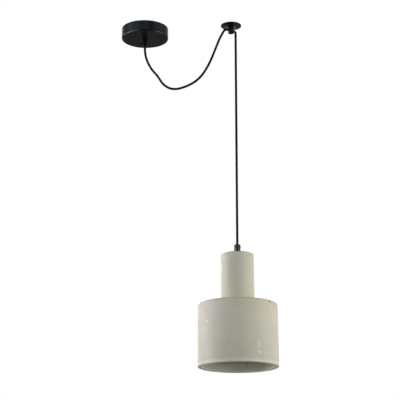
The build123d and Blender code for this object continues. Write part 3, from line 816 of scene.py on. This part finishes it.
def makeFloor():
    floorFinish()
    mesh = bmesh.new()
    bmesh.ops.create_circle(
        mesh, cap_ends=True, segments=paleFloor["sides"], radius=paleFloor["radius"],
        matrix=Matrix.Translation((shadeAxis.x, 0.0, paleFloor["height"])),
    )
    data = bpy.data.meshes.new("floor")
    mesh.to_mesh(data)
    mesh.free()
    data.materials.append(finishes["paleFloor"])
    floor = bpy.data.objects.new("floor", data)
    scene.collection.objects.link(floor)


makeWorld()
makeLamps()
makeFloor()
scene.view_settings.view_transform = "Standard"
print("light and floor set")


# Canopy

canopy = {
    "wall": 0.0012,
    "edge": 0.0018,
    "innerEdge": 0.0007,
    "lip": 0.0003,
    "hole": 0.0042,
    "steps": 192,
    "longest": 0.002,
    "highlightTilt": 0.2,  # an edge with the painted highlight faces outwards and down by more than this
    "highlightArcs": [(-32.0, 28.0, 1.0), (48.0, 17.0, 0.6)],  # painted highlight arcs: degrees from the front, half width, strength
}


# painted highlight where the canopy's rounded bottom edge would catch light
def paintCanopyHighlight(mesh):
    layer = mesh.verts.layers.float.new("paintedHighlight")
    mesh.normal_update()
    least = canopy["highlightTilt"]
    for vertex in mesh.verts:
        if outwards(vertex, canopyAxis) > least and vertex.normal.z < -least:
            for middle, halfWidth, strength in canopy["highlightArcs"]:
                away = math.degrees(turnFrom(vertex, canopyAxis, middle)) / halfWidth
                vertex[layer] = max(vertex[layer], strength * (1.0 - away ** 2))


def makeCanopyCup():
    radius = radiusOf("canopy_cup")
    low, high = bottomOf("canopy_cup"), topOf("canopy_cup")
    wall = canopy["wall"]
    outline = [
        (canopy["hole"], low),
        (radius, low),
        (radius, high),
        (radius - wall, high),
        (radius - wall, low + wall),
        (canopy["hole"], low + wall),
    ]
    rounds = {1: canopy["edge"], 2: canopy["lip"], 3: canopy["lip"], 4: canopy["innerEdge"]}
    mesh = spunMesh(canopyAxis, outline, rounds, canopy["steps"], canopy["longest"])
    paintCanopyHighlight(mesh)
    addPiece(mesh, "canopyCup", "canopyPaint", "black_paint", "ceiling", ("canopy_cup",))


canopyGrip = {
    "bore": 0.00405,
    "passage": 0.0027,
    "threadDepth": 0.0072,
    "edge": 0.0010,
    "mouth": 0.0005,
    "topEdge": 0.0003,
    "screwEdge": 0.00025,
    "steps": 64,
}


def makeCanopyGrip():
    radius = radiusOf("canopy_cord_grip")
    low, high = bottomOf("canopy_cord_grip"), topOf("canopy_cord_grip")
    floor = high - canopyGrip["threadDepth"]
    outline = [
        (canopyGrip["bore"], high),
        (radius, high),
        (radius, low),
        (canopyGrip["passage"], low),
        (canopyGrip["passage"], floor),
        (canopyGrip["bore"], floor),
    ]
    rounds = {1: canopyGrip["topEdge"], 2: canopyGrip["edge"], 3: canopyGrip["mouth"]}
    mesh = spunMesh(canopyAxis, outline, rounds, canopyGrip["steps"])
    addPiece(mesh, "canopyGrip", "dullGrip", "black_grip", "ceiling", ("canopy_cord_grip",))
    screw = softMesh("canopy_grip_screw", canopyGrip["screwEdge"])
    addPiece(screw, "canopyGripScrew", "glossyGrip", "black_grip", "ceiling", ("canopy_grip_screw",))


makeCanopyCup()
makeCanopyGrip()
print("canopy made")


# Fittings inside the canopy

canopyFittings = [  # node, piece, finish, slot, edge
    ("ceiling_bracket", "ceilingBracket", "zincSteel", "zinc_steel", 0.0003),
    ("canopy_nipple", "canopyNipple", "zincSteel", "zinc_steel", 0.0002),
    ("canopy_lock_nuts", "canopyLockNuts", "zincSteel", "zinc_steel", 0.0003),
    ("terminal_block", "terminalBlock", "blockPlastic", "block_plastic", 0.0004),
    ("terminal_sleeves", "terminalSleeves", "brass", "brass", 0.0002),
    ("terminal_screws", "terminalScrews", "zincSteel", "zinc_steel", 0.00015),
    ("terminal_fixing_screw", "terminalFixingScrew", "zincSteel", "zinc_steel", 0.0002),
    ("earth_lug", "earthLug", "brass", "brass", 0.0002),
    ("earth_screw", "earthScrew", "brass", "brass", 0.00025),
]

makeFittings(canopyFittings, "ceiling")
print("canopy fittings made:", len(canopyFittings))


# Ceiling hook

hook = {
    "discLip": 0.0003,
    "stemEdge": 0.00045,
    "stemSteps": 3,
    "grubEdge": 0.00012,
}


def makeHook():
    disc = softMesh("hook_disc", hook["discLip"])
    addPiece(disc, "hookDisc", "discPaint", "black_paint", "ceiling", ("hook_disc",))
    stem = softMesh("hook_stem", hook["stemEdge"], hook["stemSteps"])
    addPiece(stem, "hookStem", "stemPaint", "black_paint", "ceiling", ("hook_stem",))
    grub = softMesh("hook_grub_screw", hook["grubEdge"])
    addPiece(grub, "hookGrubScrew", "zincSteel", "zinc_steel", "ceiling", ("hook_grub_screw",))


makeHook()
print("ceiling hook made")


# Pendant cord grip on the neck, with the washer under it

ferrule = {
    "topRadius": 0.0063,
    "bore": 0.00505,
    "passage": 0.0027,
    "threadDepth": 0.0092,
    "edge": 0.0010,
    "mouth": 0.0004,
    "baseEdge": 0.0004,
    "screwEdge": 0.0002,
    "steps": 96,
}


def makeFerrule():
    radius = radiusOf("pendant_cord_grip")
    low, high = bottomOf("pendant_cord_grip"), topOf("pendant_cord_grip")
    roof = low + ferrule["threadDepth"]
    outline = [
        (ferrule["passage"], high),
        (ferrule["topRadius"], high),
        (radius, low),
        (ferrule["bore"], low),
        (ferrule["bore"], roof),
        (ferrule["passage"], roof),
    ]
    rounds = {0: ferrule["mouth"], 1: ferrule["edge"], 2: ferrule["baseEdge"]}
    mesh = spunMesh(shadeAxis, outline, rounds, ferrule["steps"])
    addPiece(mesh, "pendantGrip", "glossyGrip", "black_grip", "shade", ("pendant_cord_grip",))
    screw = softMesh("pendant_grip_screw", ferrule["screwEdge"])
    addPiece(screw, "pendantGripScrew", "glossyGrip", "black_grip", "shade", ("pendant_grip_screw",))


seatWasher = {
    "hole": 0.0052,
    "edge": 0.0004,
    "steps": 96,
}


def makeSeatWasher():
    radius, hole = radiusOf("seat_washer"), seatWasher["hole"]
    low, high = bottomOf("seat_washer"), topOf("seat_washer")
    outline = [(hole, high), (radius, high), (radius, low), (hole, low)]
    rounds = {1: seatWasher["edge"], 2: seatWasher["edge"]}
    mesh = spunMesh(shadeAxis, outline, rounds, seatWasher["steps"])
    addPiece(mesh, "seatWasher", "washerRubber", "washer_rubber", "shade", ("seat_washer",))


makeFerrule()
makeSeatWasher()
print("pendant grip made")


# Concrete shade, cast in one piece

cast = {
    "nippleHole": 0.0052,
    "neckRadius": 0.03315,
    "neckLowRadius": 0.03391,
    "neckHeight": 0.104,
    "drumRadius": 0.0803,
    "wall": 0.0085,
    "neckRoof": 0.012,
    "drumRoof": 0.010,
    "neckBore": 0.025,
    "neckBoreLow": 0.02576,
    "drumRoofRadius": 0.08038,
    "neckEdge": 0.0025,
    "creaseEdge": 0.0012,
    "drumEdge": 0.0040,
    "rimEdge": 0.0016,
    "hollowEdge": 0.0060,
    "steps": 256,
    "longest": 0.0021,
    "waviness": 0.00016,
    "waveScale": 38.0,
    "edgeTilt": (0.25, 0.97),  # how far a rounded edge's normal leans, up or down
    "edgeFacing": 0.2,  # the least that it faces outwards
    "edgeLoss": 0.0014,
    "edgeScale": 130.0,
    "wornFrom": 0.22,  # of the noise along the edges
    # painted shade on up-facing rounded edges
    "topEdgeShade": 1.2,
    "innerFacing": -0.2,  # the inside faces the axis by more than this
    "innerTint": 0.85,
    "innerFade": 0.020,  # up from the rim
    # painted shade under the rim
    "rimUnderShade": 0.65,
    "rimUnder": (0.5, 0.9),  # from the rim's rounded edge to its underside
    "shadedRimReach": (-0.050, -0.010),  # painted shade under the rim, from its near part backwards
    "seed": 11,
    "pits": 56,
    "pitSize": (0.0004, 0.0010),
    "pitSquash": (0.6, 1.3),  # height for its width
    "pitDepth": 0.8,  # of its size
    "patchMargin": 0.001,  # round a mark, where the mesh is made finer
    "patchCuts": 3,
    "markMargin": 0.004,  # round a mark, where its corners are looked for
    "markFacing": 0.1,  # marks are on what faces outwards
    # pits are darkened with painted shade
    "markStrength": {"pit": 1.0, "chip": 1.0, "wear": 0.4, "darkening": 0.3},
    "marks": [  # kind, turn from the front in degrees, height, half width, half height, depth
        ("chip", -44.4, -0.6518, 0.0017, 0.0030, 0.0004),
        ("chip", -50.3, -0.6465, 0.0010, 0.0018, 0.0002),
        ("chip", 36.1, -0.7164, 0.0016, 0.0036, 0.0004),
        ("wear", 34.6, -0.7010, 0.0052, 0.0125, 0.0001),
        ("pit", -7.4, -0.7338, 0.0016, 0.0016, 0.0012),
        ("pit", 57.2, -0.6122, 0.0050, 0.0026, 0.0016),
        ("wear", -5.2, -0.7149, 0.0016, 0.0015, 0.0001),
        ("darkening", -1.4, -0.6245, 0.0062, 0.0011, 0.0001),
        ("darkening", -0.2, -0.6756, 0.0058, 0.0010, 0.0001),
        ("pit", -2.4, -0.7063, 0.0008, 0.0010, 0.0005),
        ("pit", 22.0, -0.7080, 0.0010, 0.0008, 0.0005),
    ],
}

castMark = namedtuple("castMark", "kind turn height halfWidth halfHeight depth")


def castOutline():
    top, rim = topOf("concrete_shade"), bottomOf("concrete_shade")
    lowRadius = radiusOf("concrete_shade")
    shoulder = top - cast["neckHeight"]
    ceiling = top - cast["neckRoof"]
    roof = shoulder - cast["drumRoof"]
    outline = [
        (cast["nippleHole"], top),
        (cast["neckRadius"], top),
        (cast["neckLowRadius"], shoulder),
        (cast["drumRadius"], shoulder),
        (lowRadius, rim),
        (lowRadius - cast["wall"], rim),
        (cast["drumRoofRadius"] - cast["wall"], roof),
        (cast["neckBoreLow"], roof),
        (cast["neckBore"], ceiling),
        (cast["nippleHole"], ceiling),
    ]
    rounds = {
        1: cast["neckEdge"],
        2: cast["creaseEdge"],
        3: cast["drumEdge"],
        4: cast["rimEdge"],
        5: cast["rimEdge"],
        6: cast["hollowEdge"],
    }
    return outline, rounds


def allMarks():
    draw = random.Random(cast["seed"])
    top, rim = topOf("concrete_shade"), bottomOf("concrete_shade")
    marks = [castMark(*row) for row in cast["marks"]]
    for _ in range(cast["pits"]):
        turn = draw.uniform(-180.0, 180.0)
        height = draw.uniform(rim, top)
        size = draw.uniform(*cast["pitSize"])
        squash = draw.uniform(*cast["pitSquash"])
        marks.append(castMark("pit", turn, height, size, size * squash, size * cast["pitDepth"]))
    return marks


def markPlace(mark):
    onNeck = mark.height > topOf("concrete_shade") - cast["neckHeight"]
    radius = cast["neckRadius"] if onNeck else cast["drumRadius"]
    angle = math.radians(mark.turn)
    return shadeAxis + Vector((radius * math.sin(angle), -radius * math.cos(angle), mark.height))


def markStrength(vertex, mark):
    spoke = vertex.co - shadeAxis
    across = turnFrom(vertex, shadeAxis, mark.turn) * math.hypot(spoke.x, spoke.y) / mark.halfWidth
    upright = (vertex.co.z - mark.height) / mark.halfHeight
    return max(0.0, 1.0 - math.hypot(across, upright) ** 2)


def nearMarks(mesh, marks, margin):
    mesh.verts.index_update()
    mesh.verts.ensure_lookup_table()
    tree = kdtree.KDTree(len(mesh.verts))
    for vertex in mesh.verts:
        tree.insert(vertex.co, vertex.index)
    tree.balance()
    for mark in marks:
        reach = max(mark.halfWidth, mark.halfHeight) + margin
        for _, number, _ in tree.find_range(markPlace(mark), reach):
            yield mark, mesh.verts[number]


# a wavy outer face, worn edges, painted shade on up-facing edges and under the rim's far part, and the
# tint inside
def weatherShade(mesh, layers):
    rim = bottomOf("concrete_shade")
    least, most = cast["edgeTilt"]
    mesh.normal_update()
    for vertex in mesh.verts:
        facing = outwards(vertex, shadeAxis)
        tilt = vertex.normal.z
        onEdge = least < abs(tilt) < most and facing > cast["edgeFacing"]
        crumbled = noise.noise(vertex.co * cast["edgeScale"]) - cast["wornFrom"]
        worn = max(0.0, crumbled) if onEdge else 0.0
        # painted shade: up-facing rounded edges darkened, as the light comes from the sides
        upward = max(0.0, tilt) if onEdge else 0.0
        onRim = vertex.co.z < rim + cast["rimEdge"]
        # painted shade under the rim, towards its back
        under = shareOf(-tilt, *cast["rimUnder"]) if onRim else 0.0
        rimShadow = cast["rimUnderShade"] * under * shareOf(vertex.co.y, *cast["shadedRimReach"])
        inside = shareOf(vertex.co.z, rim, rim + cast["innerFade"])
        # painted shade on edges and under the rim
        vertex[layers["darkening"]] = min(1.0, cast["topEdgeShade"] * upward + rimShadow)
        vertex[layers["wear"]] = min(1.0, worn)
        vertex[layers["inner"]] = cast["innerTint"] * inside if facing < cast["innerFacing"] else 0.0
        wave = noise.noise(vertex.co * cast["waveScale"]) * cast["waviness"]
        vertex.co += vertex.normal * (max(0.0, facing) * wave - worn * cast["edgeLoss"])


# pits darkened with painted shade, chips, worn patches and grimy lines, in a finer mesh round each
def markShade(mesh, layers):
    marks = allMarks()
    near = nearMarks(mesh, marks, cast["patchMargin"])
    faces = {face for _, vertex in near for face in vertex.link_faces}
    mesh.edges.index_update()
    edges = sorted({edge for face in faces for edge in face.edges}, key=lambda edge: edge.index)
    bmesh.ops.subdivide_edges(mesh, edges=edges, cuts=cast["patchCuts"], use_grid_fill=True)
    mesh.normal_update()
    for mark, vertex in nearMarks(mesh, marks, cast["markMargin"]):
        strength = markStrength(vertex, mark)
        if strength > 0.0 and outwards(vertex, shadeAxis) > cast["markFacing"]:
            layer = layers[mark.kind]
            vertex[layer] = max(vertex[layer], strength * cast["markStrength"][mark.kind])
            vertex.co -= vertex.normal * strength * mark.depth


def makeShade():
    outline, rounds = castOutline()
    mesh = spunMesh(shadeAxis, outline, rounds, cast["steps"], cast["longest"])
    kinds = ("inner", "darkening", "wear", "pit", "chip")
    layers = {kind: mesh.verts.layers.float.new(kind) for kind in kinds}
    weatherShade(mesh, layers)
    markShade(mesh, layers)
    addPiece(mesh, "concreteShade", "castConcrete", "concrete", "shade", ("concrete_shade",))


makeShade()
print("concrete shade cast")


# Lampholder and what clamps the shade

holder = {
    "entry": 0.00505,
    "collar": 0.009,
    "collarHeight": 0.007,
    "slopeHeight": 0.010,
    "bore": 0.0173,
    "boreTop": 0.0181,
    "entryLength": 0.009,
    "edge": 0.0008,
    "slopeEdge": 0.0025,
    "lip": 0.0003,
    "spigot": 0.005,
    "spigotRadius": 0.0172,
    "shellRoom": 0.0142,
    "insulatorBore": 0.0152,
    "insulatorDepth": 0.0095,
    "steps": 128,
}


def makeHolderCap():
    radius = radiusOf("lampholder_cap")
    high, low = topOf("lampholder_cap"), bottomOf("lampholder_cap")
    slope = high - holder["collarHeight"]
    outline = [
        (holder["entry"], high),
        (holder["collar"], high),
        (holder["collar"], slope),
        (radius, slope - holder["slopeHeight"]),
        (radius, low),
        (holder["bore"], low),
        (holder["bore"], high - holder["boreTop"]),
        (holder["collar"], high - holder["entryLength"]),
        (holder["entry"], high - holder["entryLength"]),
    ]
    rounds = {1: holder["edge"], 2: holder["slopeEdge"], 3: holder["slopeEdge"], 4: holder["lip"]}
    mesh = spunMesh(shadeAxis, outline, rounds, holder["steps"])
    addPiece(mesh, "lampholderCap", "holderPlastic", "holder_plastic", "shade", ("lampholder_cap",))


def makeHolderSkirt():
    radius = radiusOf("lampholder_cap")
    high, low = topOf("lampholder_skirt"), bottomOf("lampholder_skirt")
    joint = high - holder["spigot"]
    ledge = joint - holder["insulatorDepth"]
    outline = [
        (holder["insulatorBore"], high),
        (holder["spigotRadius"], high),
        (holder["spigotRadius"], joint),
        (radius, joint),
        (radius, low),
        (holder["shellRoom"], low),
        (holder["shellRoom"], ledge),
        (holder["insulatorBore"], ledge),
    ]
    rounds = {3: holder["lip"], 4: holder["edge"], 5: holder["edge"]}
    mesh = spunMesh(shadeAxis, outline, rounds, holder["steps"])
    addPiece(mesh, "lampholderSkirt", "holderPlastic", "holder_plastic", "shade", ("lampholder_skirt",))


shell = {
    "middle": 0.01345,
    "wave": 0.00042,
    "pitch": 0.00363,
    "pitchSteps": 12,
    "turnSteps": 96,
    "pitchesBelow": 2,  # rolled below the shell, then cut off
    "sparePitches": 3,  # rolled in all beyond its height
    "weld": 1e-5,
    "wall": 0.0003,
    "flange": 0.0008,
    "flangeHole": 0.0095,
    "sharpAngle": 50.0,
}


def joinMesh(mesh, other):
    spare = bpy.data.meshes.new("spare")
    other.to_mesh(spare)
    other.free()
    mesh.from_mesh(spare)
    bpy.data.meshes.remove(spare)


# one wavy upright line, spun with a rise of one pitch into a rolled thread
def makeScrewShell():
    low, high = bottomOf("screw_shell"), topOf("screw_shell")
    pitch, row = shell["pitch"], shell["pitch"] / shell["pitchSteps"]
    rows = math.ceil((high - low) / row) + shell["sparePitches"] * shell["pitchSteps"]
    start = low - shell["pitchesBelow"] * pitch
    mesh = bmesh.new()
    line = []
    for number in range(rows):
        radius = shell["middle"] + shell["wave"] * math.cos(math.tau * number / shell["pitchSteps"])
        line.append(mesh.verts.new((shadeAxis.x + radius, 0.0, start + number * row)))
    for lower, upper in zip(line, line[1:]):
        mesh.edges.new((lower, upper))
    bmesh.ops.spin(
        mesh, geom=mesh.verts[:] + mesh.edges[:], cent=shadeAxis, axis=(0.0, 0.0, 1.0),
        dvec=(0.0, 0.0, pitch / shell["turnSteps"]), angle=math.tau, steps=shell["turnSteps"],
    )
    bmesh.ops.remove_doubles(mesh, verts=mesh.verts, dist=shell["weld"])
    for height, upright in ((low, -1.0), (high - shell["wall"], 1.0)):
        bmesh.ops.bisect_plane(
            mesh, geom=mesh.verts[:] + mesh.edges[:] + mesh.faces[:],
            plane_co=(0.0, 0.0, height), plane_no=(0.0, 0.0, upright), clear_outer=True,
        )
    bmesh.ops.recalc_face_normals(mesh, faces=mesh.faces)
    bmesh.ops.solidify(mesh, geom=mesh.faces[:], thickness=shell["wall"])
    rim = shell["middle"] + shell["wave"]
    floor = high - shell["flange"]
    outline = [(shell["flangeHole"], high), (rim, high), (rim, floor), (shell["flangeHole"], floor)]
    joinMesh(mesh, spunMesh(shadeAxis, outline, {1: shell["wall"]}, shell["turnSteps"]))
    addPiece(mesh, "screwShell", "brass", "brass", "shade", ("screw_shell",), shell["sharpAngle"])


pendantFittings = [  # node, piece, finish, slot, edge
    ("pendant_nipple", "pendantNipple", "zincSteel", "zinc_steel", 0.0002),
    ("clamp_washer", "clampWasher", "zincSteel", "zinc_steel", 0.0002),
    ("pendant_lock_nut", "pendantLockNut", "zincSteel", "zinc_steel", 0.0003),
    ("lampholder_insulator", "lampholderCore", "porcelain", "insulator", 0.0003),
    ("shell_rivets", "shellRivets", "brass", "brass", 0.00015),
    ("centre_contact", "centreContact", "brass", "brass", 0.0001),
    ("lampholder_terminals", "lampholderTerminals", "brass", "brass", 0.0002),
    ("lampholder_terminal_screws", "lampholderScrews", "zincSteel", "zinc_steel", 0.0001),
]

makeHolderCap()
makeHolderSkirt()
makeScrewShell()
makeFittings(pendantFittings, "shade")
print("lampholder made")


# Cord tails and cores inside the canopy and the lampholder

coreDiameter = 0.0018
wiringSides = 16
wiringFineness = 8
wiring = [  # node, piece, finish, slot, body, diameter, points
    (
        "canopy_cord_tail", "canopyCordTail", "cordSheath", "cord_sheath", "ceiling", cordDiameter,
        [(0.0, 0.0, -0.0395), (0.0, 0.0, -0.022), (0.0, 0.0, -0.005)],
    ),
    (
        "canopy_live_core", "canopyLiveCore", "liveWire", "live_wire", "ceiling", coreDiameter,
        [(0.001, 0.0, -0.005), (0.001, 0.0, -0.002), (0.001, 0.0135, -0.002), (0.001, 0.0135, -0.0137),
         (0.005, 0.008, -0.0137), (0.01543, 0.008, -0.0137)],
    ),
    (
        "canopy_neutral_core", "canopyNeutralCore", "neutralWire", "neutral_wire", "ceiling", coreDiameter,
        [(-0.001, 0.0, -0.005), (-0.001, 0.0, -0.002), (-0.001, 0.0135, -0.002), (-0.001, 0.0135, -0.0137),
         (0.003, 0.0065, -0.0137), (0.007, 0.0, -0.0137), (0.01543, 0.0, -0.0137)],
    ),
    (
        "earth_lead", "earthLead", "earthWire", "earth_wire", "ceiling", coreDiameter,
        [(-0.019, -0.0045, -0.01125), (-0.019, -0.0123, -0.01125), (-0.0095, -0.0123, -0.0137),
         (0.0033, -0.0123, -0.0137), (0.0066, -0.008, -0.0137), (0.01543, -0.008, -0.0137)],
    ),
    (
        "pendant_cord_tail", "pendantCordTail", "cordSheath", "cord_sheath", "shade", cordDiameter,
        [(0.195937, 0.0, -0.4844), (0.195937, 0.0, -0.5085), (0.195937, 0.0, -0.5329)],
    ),
    (
        "lampholder_live_core", "lampholderLiveCore", "liveWire", "live_wire", "shade", coreDiameter,
        [(0.196937, 0.0, -0.5329), (0.196937, 0.0, -0.5354), (0.204937, 0.0, -0.5379),
         (0.204937, 0.0, -0.5462)],
    ),
    (
        "lampholder_neutral_core", "lampholderNeutralCore", "neutralWire", "neutral_wire", "shade",
        coreDiameter,
        [(0.194937, 0.0, -0.5329), (0.194937, 0.0, -0.5354), (0.186937, 0.0, -0.5379),
         (0.186937, 0.0, -0.5462)],
    ),
]


def makeWiring():
    for node, name, finish, slot, body, diameter, points in wiring:
        line = routeLine(name + "Route", [Vector(point) for point in points], wiringFineness)
        addPiece(tubeMesh(line, diameter / 2, wiringSides), name, finish, slot, body, (node,))


makeWiring()
print("wiring laid:", len(wiring))
